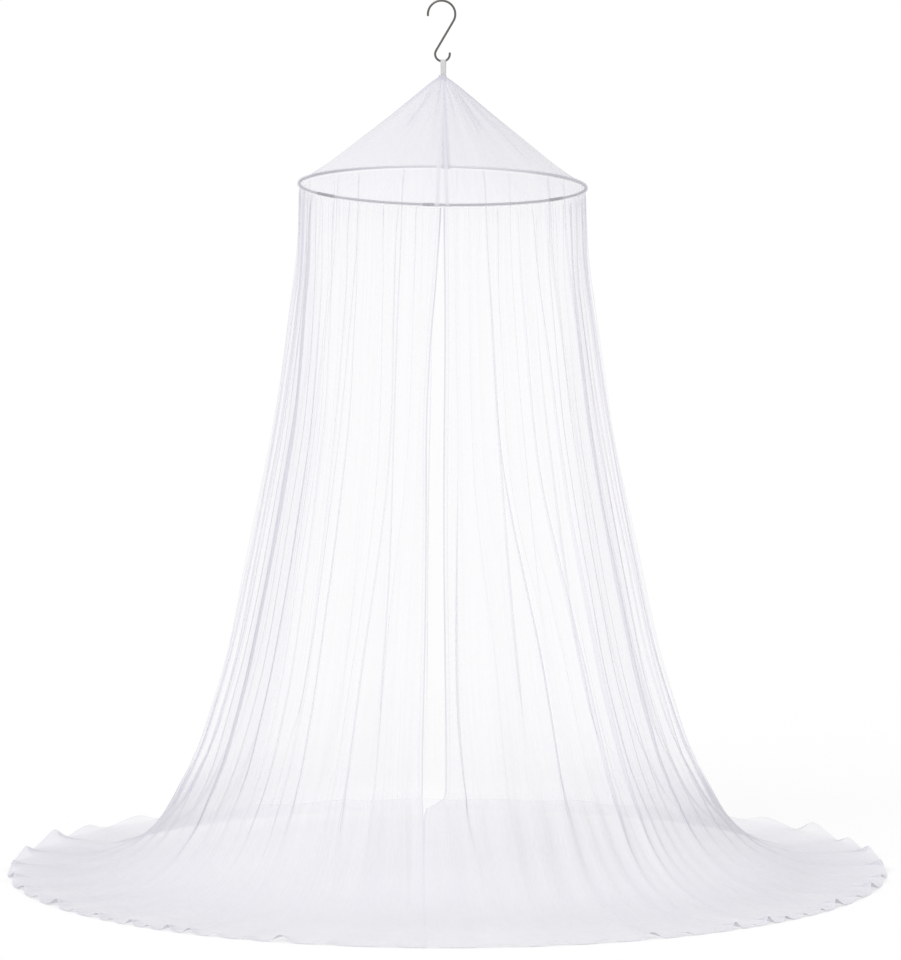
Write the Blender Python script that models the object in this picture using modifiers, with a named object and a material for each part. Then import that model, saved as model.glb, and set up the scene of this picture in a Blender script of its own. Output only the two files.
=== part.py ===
"""A mosquito net canopy: a gathered net hung from a hoop and an S-hook, its hem spread on the floor.

Metres, +Z up. The origin is on the floor under the hook, and the net's opening faces -Y.
Angles round the canopy start at the front (-Y) and grow towards +X.
"""

import math
from collections import namedtuple

import bmesh
import bpy
from mathutils import Matrix, Vector

# The hoop that spreads the net, and the sleeves over its joints.
HOOP_RADIUS = 0.2975
HOOP_HEIGHT = 1.449
HOOP_TUBE_RADIUS = 0.0025
HOOP_SEGMENTS = 72
HOOP_TUBE_SIDES = 8
HOOP_TILT = math.radians(0.9)  # its right side hangs a little lower
TILT_REACH = 0.45  # how far below the hoop the net still follows that tilt
TILT_RIGID = 0.010  # within this height of the hoop the net follows it wholly
SLEEVE_BORE_RADIUS = 0.0028
SLEEVE_RADIUS = 0.0032

# One row for each sleeve: the angle of its middle, and its length.
Sleeve = namedtuple("Sleeve", "middle length")
SLEEVES = {
    "hoop_sleeve_front": Sleeve(-5.6, 0.022),
    "hoop_sleeve_left": Sleeve(-54.2, 0.058),
    "hoop_sleeve_right": Sleeve(52.2, 0.044),
}

# The S-hook, bent from round wire: two arcs and the straight between them.
WIRE_RADIUS = 0.0023
UPPER_CROOK_RADIUS = 0.0284
LOWER_CROOK_RADIUS = 0.0152
CROOK_RISE = 0.0834  # between the centres of the two crooks
CROOK_SHIFT = -0.0018
UPPER_TIP_ANGLE = math.radians(189.0)
LOWER_TIP_ANGLE = math.radians(14.0)
ARC_STEP = math.radians(11.0)

# The woven tape loop, sewn into the gathered peak of the roof.
TAPE_WIDTH = 0.011
TAPE_THICKNESS = 0.0012
TAPE_CLEARANCE = 0.0005
TAPE_LEG_SPACING = 0.0022  # between the two legs' middles where the net grips them
TAPE_TOP = 1.7120  # the underside of the tape where the hook's wire passes
TAPE_END = 1.6660
TAPE_TURN_STEPS = 8
TAPE_COLUMNS = 4

# The roof: a cone of net with a lapped seam down its front, turned round the hoop at its edge.
ROOF_THICKNESS = 0.0012
ROOF_COLUMNS = 62
PEAK_HEIGHT = 1.6800
ROOF_DROP = PEAK_HEIGHT - HOOP_HEIGHT
ROOF_SLOPE = math.atan2(ROOF_DROP, HOOP_RADIUS)
PEAK_HALF_WIDTH = 0.0076
PEAK_HALF_DEPTH = 0.0046
CASING_RADIUS = 0.0047  # from the hoop's middle to the middle of the net turned round it
CASING_START = math.radians(52.0)
CASING_END = math.radians(-100.0)
CASING_STEPS = 6
ROOF_SEAM_WIDTH = 0.0168  # how far the seam's two layers lap
ROOF_SEAM_WIDEST = 30.0  # the lap's half angle is no wider than this, in degrees
ROOF_SEAM_LIFT = 0.0010  # each layer's distance from the middle of the lap
ROOF_GATHERS = 15

# The wall: one width of net gathered on the casing, its two edges parted at the front.
WALL_THICKNESS = 0.0018
WALL_GAP = 0.0004  # under the casing that it is sewn to
RIGHT_EDGE_ANGLE = 0.4
EDGE_LIFT = 0.0050  # the right edge hangs in front of the left one, each this far from their middle
EDGE_LIFT_TOP = 0.0016
FLAT_EDGE = 2.0  # the width of net beside each edge that has no fold, in degrees
LAP_FADE = 8.0  # the edges come back together over this angle
FLANK = 0.50  # where a fold's flanks lie, as a share of the way from its foot to its crest
HEM_PULL = 0.55  # how far a ridge draws the hem back, as a share of its height
POOL_RADIUS = 0.90
POOL_SHIFT = 0.010  # the spread hem lies a little to the right of the hook

# One row for each ring of points down the roof: the share of the hoop's radius, the share of the
# way down from the peak to the hoop, and the depth of the gathers there.
RoofSection = namedtuple("RoofSection", "radius_share drop_share gather")
ROOF_SECTIONS = (
    RoofSection(0.065, 0.055, 0.0004),
    RoofSection(0.170, 0.165, 0.0020),
    RoofSection(0.350, 0.358, 0.0020),
    RoofSection(0.590, 0.605, 0.0010),
    RoofSection(0.830, 0.850, 0.0003),
)

# One row for each ring of points down the wall: the radius and height of the net's inner face, the
# depth of its folds, how far they stand up from that face instead of either side of it, how high
# their flanks are as a share of their crests, and the angle by which the two front edges hang
# apart (+) or lie over one another (-). The pool lies flat between its narrow ridges.
WallSection = namedtuple("WallSection", "radius height depth standing flank parting")
WALL_SECTIONS = (
    WallSection(0.2975, 1.4425, 0.0016, 0.0, 0.55, 0.8),
    WallSection(0.2995, 1.4050, 0.0075, 0.0, 0.55, 1.2),
    WallSection(0.3035, 1.3150, 0.0120, 0.0, 0.55, 2.6),
    WallSection(0.3240, 1.1470, 0.0150, 0.0, 0.55, 5.0),
    WallSection(0.3490, 0.9780, 0.0160, 0.0, 0.55, 5.9),
    WallSection(0.3800, 0.8090, 0.0170, 0.0, 0.55, 5.6),
    WallSection(0.4140, 0.6410, 0.0185, 0.0, 0.55, 5.3),
    WallSection(0.4510, 0.4720, 0.0200, 0.0, 0.55, 5.0),
    WallSection(0.4880, 0.3450, 0.0215, 0.0, 0.55, 4.7),
    WallSection(0.5420, 0.2050, 0.0230, 0.1, 0.55, 4.2),
    WallSection(0.5880, 0.1180, 0.0240, 0.3, 0.50, 2.6),
    WallSection(0.6430, 0.0590, 0.0240, 0.6, 0.45, 0.9),
    WallSection(0.7150, 0.0210, 0.0230, 0.9, 0.30, -0.8),
    WallSection(0.8000, 0.0000, 0.0180, 1.0, 0.00, -2.0),
    WallSection(0.8700, 0.0000, 0.0200, 1.0, 0.00, -2.2),
    WallSection(0.9190, 0.0000, 0.0240, 1.0, 0.35, -2.2),
)

# One row for each fold round the wall, from the right edge to the left one: the angles of its
# crest under the casing and on the floor, its depth as a share of the section's, and how far the
# crest leans over sideways, as a share of its height.
Fold = namedtuple("Fold", "top floor depth lean")
FOLDS = (
    Fold(4.5, 6.5, 0.45, 0.10),
    Fold(10.0, 13.5, 0.70, 0.20),
    Fold(15.0, 20.5, 0.50, -0.10),
    Fold(20.0, 27.0, 1.25, 0.35),
    Fold(25.0, 32.5, 0.50, 0.00),
    Fold(30.0, 38.0, 1.25, 0.35),
    Fold(34.5, 43.0, 0.50, -0.10),
    Fold(39.0, 47.5, 1.15, 0.30),
    Fold(45.5, 52.5, 0.85, 0.10),
    Fold(52.5, 57.0, 0.60, 0.00),
    Fold(60.0, 62.5, 1.40, 0.40),
    Fold(67.0, 68.5, 0.75, -0.15),
    Fold(74.5, 75.5, 1.15, 0.25),
    Fold(83.0, 83.0, 0.90, 0.10),
    Fold(92.5, 91.5, 1.15, -0.20),
    Fold(102.0, 102.5, 0.95, 0.15),
    Fold(111.0, 111.5, 0.70, -0.10),
    Fold(122.0, 121.0, 1.20, 0.30),
    Fold(132.5, 132.0, 0.90, -0.25),
    Fold(143.0, 143.5, 1.05, 0.15),
    Fold(152.0, 153.0, 0.70, 0.05),
    Fold(163.5, 162.5, 1.25, -0.30),
    Fold(174.0, 174.5, 0.85, 0.20),
    Fold(184.0, 184.5, 1.00, -0.10),
    Fold(195.5, 194.0, 1.20, 0.25),
    Fold(205.0, 205.5, 0.75, -0.05),
    Fold(216.0, 216.5, 1.10, -0.30),
    Fold(226.5, 226.0, 0.95, 0.20),
    Fold(236.0, 237.0, 0.80, -0.15),
    Fold(247.5, 246.5, 1.20, 0.25),
    Fold(257.0, 257.5, 0.90, -0.20),
    Fold(267.5, 268.0, 1.05, 0.10),
    Fold(277.0, 277.0, 1.00, -0.25),
    Fold(285.0, 284.5, 0.80, 0.15),
    Fold(291.5, 291.0, 0.90, -0.15),
    Fold(298.0, 297.5, 1.40, -0.40),
    Fold(304.5, 303.0, 0.60, 0.00),
    Fold(311.0, 308.5, 0.90, -0.15),
    Fold(319.0, 316.0, 1.15, -0.30),
    Fold(325.0, 321.0, 0.50, 0.10),
    Fold(330.5, 326.0, 1.20, -0.35),
    Fold(337.0, 332.5, 0.50, 0.00),
    Fold(343.5, 339.0, 1.25, -0.35),
    Fold(349.5, 345.0, 0.70, -0.10),
)

# Colours and finishes: red, green, blue, roughness, metallic.
NET_WHITE = (0.93, 0.93, 0.95, 0.90, 0.0)
TAPE_WHITE = (0.84, 0.84, 0.84, 0.85, 0.0)
HOOP_GREY = (0.52, 0.52, 0.54, 0.40, 0.0)
SLEEVE_GREY = (0.34, 0.34, 0.36, 0.35, 1.0)
HOOK_STEEL = (0.20, 0.19, 0.17, 0.30, 1.0)


def clear_scene():
    for obj in list(bpy.data.objects):
        bpy.data.objects.remove(obj)


def new_collection(name):
    collection = bpy.data.collections.new(name)
    bpy.context.scene.collection.children.link(collection)
    return collection


def finish_of(name, look):
    red, green, blue, roughness, metallic = look
    material = bpy.data.materials.new(name)
    material.use_nodes = True
    shader = material.node_tree.nodes["Principled BSDF"]
    shader.inputs["Base Color"].default_value = (red, green, blue, 1.0)
    shader.inputs["Roughness"].default_value = roughness
    shader.inputs["Metallic"].default_value = metallic
    return material


def smooth_step(share):
    share = min(1.0, max(0.0, share))
    return share * share * (3 - 2 * share)


def settled(point):
    """The point lowered or raised as the hoop's tilt takes it, fading out above and below the hoop."""
    above = point.z - HOOP_HEIGHT
    reach = ROOF_DROP if above > 0 else TILT_REACH
    share = 1.0 - smooth_step((abs(above) - TILT_RIGID) / reach)
    return point - Vector((0.0, 0.0, point.x * math.tan(HOOP_TILT) * share))


def around(angle, radius, height):
    """The point at this angle, in degrees from the front, radius and height."""
    turn = math.radians(angle)
    return Vector((radius * math.sin(turn), -radius * math.cos(turn), height))


def sheet(name, columns, rows, place, thickness, side, material, collection):
    """A sheet of cloth: a grid with its point of column i and row j at place(i, j), then thickened.

    The points lie in the middle of the thickness at side 0, or on the sheet's inner face at side -1.
    """
    grid = bmesh.new()
    bmesh.ops.create_grid(grid, x_segments=columns, y_segments=rows, size=1.0)
    for vertex in grid.verts:
        column = round((vertex.co.x + 1.0) / 2.0 * columns)
        row = round((vertex.co.y + 1.0) / 2.0 * rows)
        vertex.co = place(column, row)
    mesh = bpy.data.meshes.new(name)
    grid.to_mesh(mesh)
    grid.free()
    mesh.materials.append(material)
    mesh.shade_smooth()
    obj = bpy.data.objects.new(name, mesh)
    collection.objects.link(obj)
    solidify = obj.modifiers.new("thickness", "SOLIDIFY")
    solidify.thickness = thickness
    solidify.offset = side
    solidify.use_even_offset = True
    return obj


def wire(name, points, radius, material, collection):
    """A round wire along these points, its ends closed."""
    curve = bpy.data.curves.new(name, "CURVE")
    curve.dimensions = "3D"
    curve.bevel_depth = radius
    curve.bevel_resolution = 2
    curve.use_fill_caps = True
    spline = curve.splines.new("POLY")
    spline.points.add(len(points) - 1)
    for spot, point in zip(spline.points, points):
        spot.co = (*point, 1.0)
    curve.materials.append(material)
    obj = bpy.data.objects.new(name, curve)
    collection.objects.link(obj)
    return obj


def arc(centre, radius, start, end, step):
    """Points on an arc in the XZ plane, both ends included."""
    count = max(2, math.ceil(abs(end - start) / step))
    turns = (start + (end - start) * i / count for i in range(count + 1))
    return [centre + Vector((math.cos(turn), 0.0, math.sin(turn))) * radius for turn in turns]


def make_hook(collection):
    """The S-hook: its wire runs over the upper crook, down the straight and under the lower crook."""
    lower = Vector((0.0, 0.0, TAPE_TOP - WIRE_RADIUS - TAPE_CLEARANCE + LOWER_CROOK_RADIUS))
    upper = lower + Vector((CROOK_SHIFT, 0.0, CROOK_RISE))
    # The straight crosses between the two circles, touching each where its normal has this angle.
    spacing = math.hypot(CROOK_SHIFT, CROOK_RISE)
    uphill = math.atan2(CROOK_RISE, CROOK_SHIFT)
    touch = math.acos((UPPER_CROOK_RADIUS + LOWER_CROOK_RADIUS) / spacing)
    leave_upper = uphill - math.pi + touch
    meet_lower = uphill + touch
    points = arc(upper, UPPER_CROOK_RADIUS, UPPER_TIP_ANGLE, leave_upper, ARC_STEP)
    points += arc(lower, LOWER_CROOK_RADIUS, meet_lower, 2 * math.pi + LOWER_TIP_ANGLE, ARC_STEP)
    return wire("s_hook", points, WIRE_RADIUS, finish_of("hook_steel", HOOK_STEEL), collection)


def make_tape_loop(collection):
    """The tape over the hook's wire: up the front leg, round the wire and down the back leg."""
    turn_radius = WIRE_RADIUS + TAPE_CLEARANCE + TAPE_THICKNESS / 2
    centre = Vector((0.0, 0.0, TAPE_TOP - WIRE_RADIUS - TAPE_CLEARANCE))
    path = []
    for step in range(TAPE_TURN_STEPS + 1):
        turn = math.pi * step / TAPE_TURN_STEPS
        path.append(centre + Vector((0.0, -math.cos(turn), math.sin(turn))) * turn_radius)
    grip = Vector((0.0, -TAPE_LEG_SPACING / 2, PEAK_HEIGHT))
    end = Vector((0.0, -TAPE_LEG_SPACING / 2, TAPE_END))
    mirrored = Vector((1.0, -1.0, 1.0))
    path = [end, grip, *path, grip * mirrored, end * mirrored]

    def place(column, row):
        across = TAPE_WIDTH * (column / TAPE_COLUMNS - 0.5)
        # The tape's edges ride up the sides of the lower crook.
        cupped = LOWER_CROOK_RADIUS - math.sqrt(LOWER_CROOK_RADIUS ** 2 - across ** 2)
        share = smooth_step((path[row].z - PEAK_HEIGHT) / (centre.z - PEAK_HEIGHT))
        return path[row] + Vector((across, 0.0, cupped * share))

    look = finish_of("tape_white", TAPE_WHITE)
    rows = len(path) - 1
    return sheet("tape_loop", TAPE_COLUMNS, rows, place, TAPE_THICKNESS, 0.0, look, collection)


def ring(name, tube_radius, material, collection):
    """A hoop of this tube radius, on the canopy's hoop and tilted with it."""
    bpy.ops.mesh.primitive_torus_add(
        major_radius=HOOP_RADIUS,
        minor_radius=tube_radius,
        major_segments=HOOP_SEGMENTS,
        minor_segments=HOOP_TUBE_SIDES,
        location=(0.0, 0.0, HOOP_HEIGHT),
        rotation=(0.0, HOOP_TILT, 0.0),
    )
    obj = bpy.context.object
    obj.name = name
    obj.data.name = name
    obj.data.materials.append(material)
    obj.data.shade_smooth()
    for owner in obj.users_collection:
        owner.objects.unlink(obj)
    collection.objects.link(obj)
    return obj


def make_hoop(collection):
    return ring("hoop", HOOP_TUBE_RADIUS, finish_of("hoop_grey", HOOP_GREY), collection)


def sleeve_path(sleeve):
    """The middle of the hoop's tube along this sleeve, through the corners between its facets."""
    facet = 360.0 / HOOP_SEGMENTS
    half_angle = math.degrees(sleeve.length / 2 / HOOP_RADIUS)
    start, end = sleeve.middle - half_angle, sleeve.middle + half_angle
    corners = [facet * i for i in range(math.ceil(start / facet), math.floor(end / facet) + 1)]
    for angle in (start, *corners, end):
        from_facet_middle = math.radians(angle % facet - facet / 2)
        radius = HOOP_RADIUS * math.cos(math.radians(facet / 2)) / math.cos(from_facet_middle)
        yield around(angle, radius, 0.0)


def make_sleeves(collection, cutters):
    """Short tubes over the hoop's joints, bored by a ring a little thicker than the hoop."""
    look = finish_of("sleeve_grey", SLEEVE_GREY)
    bore = ring("sleeve_bore", SLEEVE_BORE_RADIUS, look, cutters)
    bore.display_type = "WIRE"
    bore.hide_render = True
    tilt = Matrix.Translation((0.0, 0.0, HOOP_HEIGHT)) @ Matrix.Rotation(HOOP_TILT, 4, "Y")
    for name, sleeve in SLEEVES.items():
        points = [tilt @ point for point in sleeve_path(sleeve)]
        tube = wire(name, points, SLEEVE_RADIUS, look, collection)
        solid = as_mesh(tube, collection)
        cut = solid.modifiers.new("bore", "BOOLEAN")
        cut.operation = "DIFFERENCE"
        cut.object = bore


def as_mesh(curve_object, collection):
    """A mesh object in place of a curve object, its caps welded on."""
    bpy.context.view_layer.update()
    graph = bpy.context.evaluated_depsgraph_get()
    mesh = bpy.data.meshes.new_from_object(curve_object.evaluated_get(graph))
    welder = bmesh.new()
    welder.from_mesh(mesh)
    bmesh.ops.remove_doubles(welder, verts=welder.verts, dist=0.00001)
    welder.to_mesh(mesh)
    welder.free()
    name = curve_object.name
    place = curve_object.matrix_world.copy()
    bpy.data.objects.remove(curve_object)
    obj = bpy.data.objects.new(name, mesh)
    obj.matrix_world = place
    collection.objects.link(obj)
    return obj


def lap(angle, first, last, width):
    """+1 at the first edge of a lapped sheet and -1 at its last, fading to 0 over this width."""
    from_first = 1.0 - smooth_step((angle - first) / width)
    from_last = 1.0 - smooth_step((last - angle) / width)
    return from_first - from_last


def seam_half_angle(radius):
    """Half the angle over which the roof's two edges lap, at this radius."""
    return min(ROOF_SEAM_WIDEST, math.degrees(ROOF_SEAM_WIDTH / 2 / radius))


def seam_lift(angle, radius):
    """How far the lapped roof stands out from (+) or in from (-) the middle of its lap."""
    half = seam_half_angle(radius)
    return lap(angle, -half, 360.0 + half, 4 * half) * ROOF_SEAM_LIFT


def roof_angle(column, radius):
    """The angle of the roof's column: its end columns span the seam's lap, and the rest are even."""
    half = seam_half_angle(radius)
    if column == 0:
        return -half
    if column == ROOF_COLUMNS:
        return 360.0 + half
    return half + (360.0 - 2 * half) * (column - 1) / (ROOF_COLUMNS - 2)


def gather_wave(column):
    """The gathers round the roof, from -1 to 1, fading out beside the seam."""
    share = (column - 1) / (ROOF_COLUMNS - 2)
    beside_seam = min(share, 1.0 - share) * ROOF_GATHERS
    return math.cos(2 * math.pi * ROOF_GATHERS * share) * smooth_step(beside_seam)


def casing_reach(angle):
    """The distance from the hoop's middle to the outside of the casing round it."""
    return CASING_RADIUS + abs(seam_lift(angle, HOOP_RADIUS)) + ROOF_THICKNESS / 2


def peak_point(column):
    """A point of the roof's top edge, an oval that grips the tape's two legs."""
    angle = roof_angle(column, PEAK_HALF_WIDTH)
    lapped = seam_lift(angle, PEAK_HALF_WIDTH)
    turn = math.radians(angle)
    half_width = PEAK_HALF_WIDTH + lapped * math.sin(ROOF_SLOPE)
    half_depth = PEAK_HALF_DEPTH + lapped * math.sin(ROOF_SLOPE)
    height = PEAK_HEIGHT + lapped * math.cos(ROOF_SLOPE)
    return Vector((half_width * math.sin(turn), -half_depth * math.cos(turn), height))


def cone_point(column, section):
    """A point of the roof's cone, raised along the cone's normal where the net gathers or laps."""
    radius = HOOP_RADIUS * section.radius_share
    angle = roof_angle(column, radius)
    rise = section.gather * gather_wave(column) + seam_lift(angle, radius)
    height = PEAK_HEIGHT - ROOF_DROP * section.drop_share + rise * math.cos(ROOF_SLOPE)
    return settled(around(angle, radius + rise * math.sin(ROOF_SLOPE), height))


def casing_point(column, share):
    """A point of the net turned round the hoop, this share of the way round from its top."""
    angle = roof_angle(column, HOOP_RADIUS)
    out = CASING_RADIUS + seam_lift(angle, HOOP_RADIUS)
    turn = CASING_START + (CASING_END - CASING_START) * share
    spot = around(angle, HOOP_RADIUS + out * math.cos(turn), HOOP_HEIGHT + out * math.sin(turn))
    return settled(spot)


def make_roof(collection):
    """The roof, from the gathered peak down the cone and round the hoop in a casing."""
    cone_rows = len(ROOF_SECTIONS)

    def place(column, row):
        if row == 0:
            return peak_point(column)
        if row <= cone_rows:
            return cone_point(column, ROOF_SECTIONS[row - 1])
        return casing_point(column, (row - cone_rows - 1) / CASING_STEPS)

    look = finish_of("net_white_roof", NET_WHITE)
    rows = cone_rows + 1 + CASING_STEPS
    return sheet("roof_net", ROOF_COLUMNS, rows, place, ROOF_THICKNESS, 0.0, look, collection)


def left_edge_angle(section):
    return RIGHT_EDGE_ANGLE + 360.0 - section.parting


def wall_columns(section):
    """The wall's columns at this section: each one's angle, its fold and its level.

    The level is 1 on a fold's crest, 0.5 on its flank and 0 between two folds.
    """
    down = 1.0 - section.height / WALL_SECTIONS[0].height
    left_edge = left_edge_angle(section)
    crests = [fold.top + (fold.floor - fold.top) * down for fold in FOLDS]
    starts = [RIGHT_EDGE_ANGLE + FLAT_EDGE, *((a + b) / 2 for a, b in zip(crests, crests[1:]))]
    ends = [*starts[1:], left_edge - FLAT_EDGE]
    columns = [(RIGHT_EDGE_ANGLE, FOLDS[0], 0.0), (RIGHT_EDGE_ANGLE + FLAT_EDGE / 2, FOLDS[0], 0.0)]
    for fold, crest, start, end in zip(FOLDS, crests, starts, ends):
        columns.append((start, fold, 0.0))
        columns.append((start + (crest - start) * FLANK, fold, 0.5))
        columns.append((crest, fold, 1.0))
        columns.append((end - (end - crest) * FLANK, fold, 0.5))
    columns.append((left_edge - FLAT_EDGE, FOLDS[-1], 0.0))
    columns.append((left_edge - FLAT_EDGE / 2, FOLDS[-1], 0.0))
    columns.append((left_edge, FOLDS[-1], 0.0))
    return columns


def section_normal(index):
    """The outward direction of the wall's profile at this section, as (radial, vertical)."""
    before = WALL_SECTIONS[max(0, index - 1)]
    after = WALL_SECTIONS[min(len(WALL_SECTIONS) - 1, index + 1)]
    out, down = after.radius - before.radius, before.height - after.height
    length = math.hypot(out, down)
    return down / length, out / length


def make_wall(collection):
    """The wall, hung in folds from the casing and spread out on the floor as a pool."""
    rings = [wall_columns(section) for section in WALL_SECTIONS]

    def place(column, row):
        angle, fold, level = rings[row][column]
        section = WALL_SECTIONS[row]
        out, up = section_normal(row)
        share = fold.depth * (section.flank if level == 0.5 else level)
        lapped = lap(angle, RIGHT_EDGE_ANGLE, left_edge_angle(section), LAP_FADE)
        lift = EDGE_LIFT_TOP if row == 0 else EDGE_LIFT
        height_of_fold = section.depth * share
        rise = height_of_fold - section.depth * 0.5 * (1.0 - section.standing)
        rise += lift * (lapped + section.standing * abs(lapped))
        sideways = math.degrees(height_of_fold * fold.lean / section.radius)
        radius = section.radius + rise * out
        height = section.height + rise * up
        if row == 0:
            height = HOOP_HEIGHT - casing_reach(angle) - WALL_GAP
        if row == len(WALL_SECTIONS) - 1:
            radius -= height_of_fold * HEM_PULL
        spread = smooth_step((radius - HOOP_RADIUS) / (POOL_RADIUS - HOOP_RADIUS))
        spot = around(angle + sideways, radius, height)
        return settled(spot) + Vector((POOL_SHIFT * spread, 0.0, 0.0))

    look = finish_of("net_white_wall", NET_WHITE)
    columns, rows = len(rings[0]) - 1, len(rings) - 1
    return sheet("wall_net", columns, rows, place, WALL_THICKNESS, -1.0, look, collection)


def main():
    clear_scene()
    parts = new_collection("mosquito_net_canopy")
    cutters = new_collection("cutters")
    make_hook(parts)
    make_tape_loop(parts)
    make_hoop(parts)
    make_sleeves(parts, cutters)
    make_roof(parts)
    make_wall(parts)


main()
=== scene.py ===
"""The looks of a mosquito net canopy: sheer net on its hoop, tape and S-hook, over a pale floor.

Metres, +Z up. The origin is on the floor under the hook, and the net's opening faces -Y.
Angles round the canopy start at the front (-Y) and grow towards +X.
"""

import math
from collections import namedtuple

import bpy
import numpy as np
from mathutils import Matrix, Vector


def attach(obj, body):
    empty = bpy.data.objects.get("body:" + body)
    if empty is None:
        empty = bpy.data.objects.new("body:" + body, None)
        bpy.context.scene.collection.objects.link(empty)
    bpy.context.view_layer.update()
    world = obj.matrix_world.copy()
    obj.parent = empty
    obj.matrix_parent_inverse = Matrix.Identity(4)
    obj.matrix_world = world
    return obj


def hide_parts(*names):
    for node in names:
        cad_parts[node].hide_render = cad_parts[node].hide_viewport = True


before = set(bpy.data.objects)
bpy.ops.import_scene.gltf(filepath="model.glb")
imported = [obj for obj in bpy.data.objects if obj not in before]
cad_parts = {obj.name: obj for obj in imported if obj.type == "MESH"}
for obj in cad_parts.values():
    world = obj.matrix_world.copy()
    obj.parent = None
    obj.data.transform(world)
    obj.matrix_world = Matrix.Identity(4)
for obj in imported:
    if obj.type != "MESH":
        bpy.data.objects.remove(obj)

# The frame that the net hangs from.
HOOP_RADIUS = 0.2975
HOOP_HEIGHT = 1.449
HOOP_TUBE_RADIUS = 0.0025
HOOP_TILT = math.radians(0.9)  # its right side hangs a little lower
HOOP_POINTS = 240
HOOP_SIDES = 14
TILT_REACH = 0.45  # how far below the hoop the net still follows that tilt
TILT_RIGID = 0.010  # within this height of the hoop the net follows it wholly
SLEEVES = ("hoop_sleeve_front", "hoop_sleeve_left", "hoop_sleeve_right")

# The S-hook.
WIRE_RADIUS = 0.0023
UPPER_CROOK_RADIUS = 0.0284
LOWER_CROOK_RADIUS = 0.0152
CROOK_RISE = 0.0834
CROOK_SHIFT = -0.0018
UPPER_TIP_ANGLE = math.radians(189.0)
LOWER_TIP_ANGLE = math.radians(14.0)
WIRE_SIDES = 20
UPPER_CROOK_POINTS = 64
LOWER_CROOK_POINTS = 56
STRAIGHT_POINTS = 18
TIP_POINTS = 6  # the points close together at each end, so that it rounds off

# The tape loop.
TAPE_WIDTH = 0.011
TAPE_THICKNESS = 0.0010
TAPE_CLEARANCE = 0.0005
TAPE_LEG_SPACING = 0.0022
TAPE_LEG_SHIFT = 0.0004  # the two legs hang this far to either side of each other's middle
TAPE_PLACE = 0.0018  # the tape sits this far to the right on the hook's lower bend
TAPE_TOP = 1.7120
TAPE_END = 1.6660
TAPE_LEG_ROWS = 40
TAPE_TURN_ROWS = 17
TAPE_COLUMNS = 13
TAPE_SHADED_EDGE_SHARE = 0.40  # how far from the tape's middle its darker edge, painted shade, starts
TAPE_RIB = 0.0009  # the spacing of the ribs across it
TAPE_WARP = 0.0007

# The roof.
PEAK_HEIGHT = 1.6800
ROOF_DROP = PEAK_HEIGHT - HOOP_HEIGHT
ROOF_SLOPE = math.atan2(ROOF_DROP, HOOP_RADIUS)
PEAK_HALF_WIDTH = 0.0076
PEAK_HALF_DEPTH = 0.0046
CASING_RADIUS = 0.0047  # from the hoop's middle to the net turned round it
CASING_START = math.radians(52.0)
CASING_END = math.radians(-100.0)
ROOF_COLUMNS = 480
ROOF_ROWS = 64
CASING_ROWS = 10
ROOF_SEAMS = ((-2.1, 2.0), (177.8, 179.4))  # the two sewn edges of each lapped seam, in degrees
SEAM_LAYERS = 0.8  # added between a seam's two edges
STITCH_LAYERS = 18.0  # and along each of them
STITCH_WIDTH = 0.0032
BESIDE_STITCHES = (-0.5, -0.25, 0.0, 0.25, 0.5)  # extra columns of points beside each edge
PINCHES = 96  # the small pinches round the casing
CONE_SHARE = 0.985  # the cone's last rows run onto the casing's first
# How dense the net looks, in layers of LAYER_COVER: over the roof, at the peak and how far from it,
# along a pulled crease, and in the casing, with how much fewer at its back.
ROOF_LAYERS = 2.7
PEAK_LAYERS = 4.8
PEAK_REACH = 0.15
# Painted shade: the roof's net is made denser on its right and sheerer on its left by this share,
# as the light falls from the left.
RIGHT_SIDE_SHADE = 0.20
PULLED_LAYERS = 11.0
PULLED_HEIGHT = 0.0030  # a crease this high has all of them
CASING_LAYERS = 1.5
CASING_THINNER = 1.2

# The wall.
CREASE_HEIGHTS = (1.36, 0.95, 0.44, 0.0)
LAP_HEIGHTS = (1.44, 1.36, 0.95, 0.44, 0.06, 0.0)
MILLIMETRE = 0.001
FLAT_EDGE = 2.4  # the width of net beside each edge that has no crease, in degrees
EDGE_LIFT = 0.0050  # the right edge hangs before the left one, each this far from their middle
EDGE_LIFT_TOP = 0.0016
EDGE_REACH = 0.04  # how far under the casing the edges come that far apart
LAP_FADE = 8.0  # the edges come back together over this angle
RIGHT_HEM_WIDTH = 0.010
LEFT_HEM_WIDTH = 0.009
HEM_PULL = 0.55  # how far a ridge draws the hem back, as a share of its height
HEM_PULL_REACH = 0.045
HEM_WIDTH = 0.012
HEM_ROWS = (1.15, 1.0, 0.75, 0.25, 0.0)  # the last rings of points, in widths of the hem
# The layers that a hem adds at each share of its width: its fold, its flat and its seam.
HEM_LAYERS = (
    (0.0, 20.0), (0.28, 19.0), (0.36, 0.8), (0.80, 0.8), (0.86, 3.0), (1.0, 3.0), (1.06, 0.0)
)
POOL_RADIUS = 0.90
POOL_SHIFT = 0.010  # the pool lies a little to the right of the hook
FLOOR_CLEARANCE = 0.0009
# The folds are flatter at the two sides, and flatter still in the pool, but for those that lie
# just behind the sides: the middle and the width of that stretch, in degrees from the front.
SIDE_FLATTENING = 0.6
POOL_FOLDS = 0.22
POOL_FOLDS_BEHIND = 0.85
BEHIND_SIDE = (112.0, 28.0)
# The hem's front lies in narrow bumps, which start at this radius: how much higher and sharper
# than the pool's other folds they are, and the layers added in their crests as painted shadow under
# the raised hem.
BUMP_START = 0.86
BUMP_REACH = 0.05
BUMP_HEIGHT = 0.28
BUMP_SHARPNESS = 1.5
BUMP_SHADOW_LAYERS = 7.0
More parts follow.
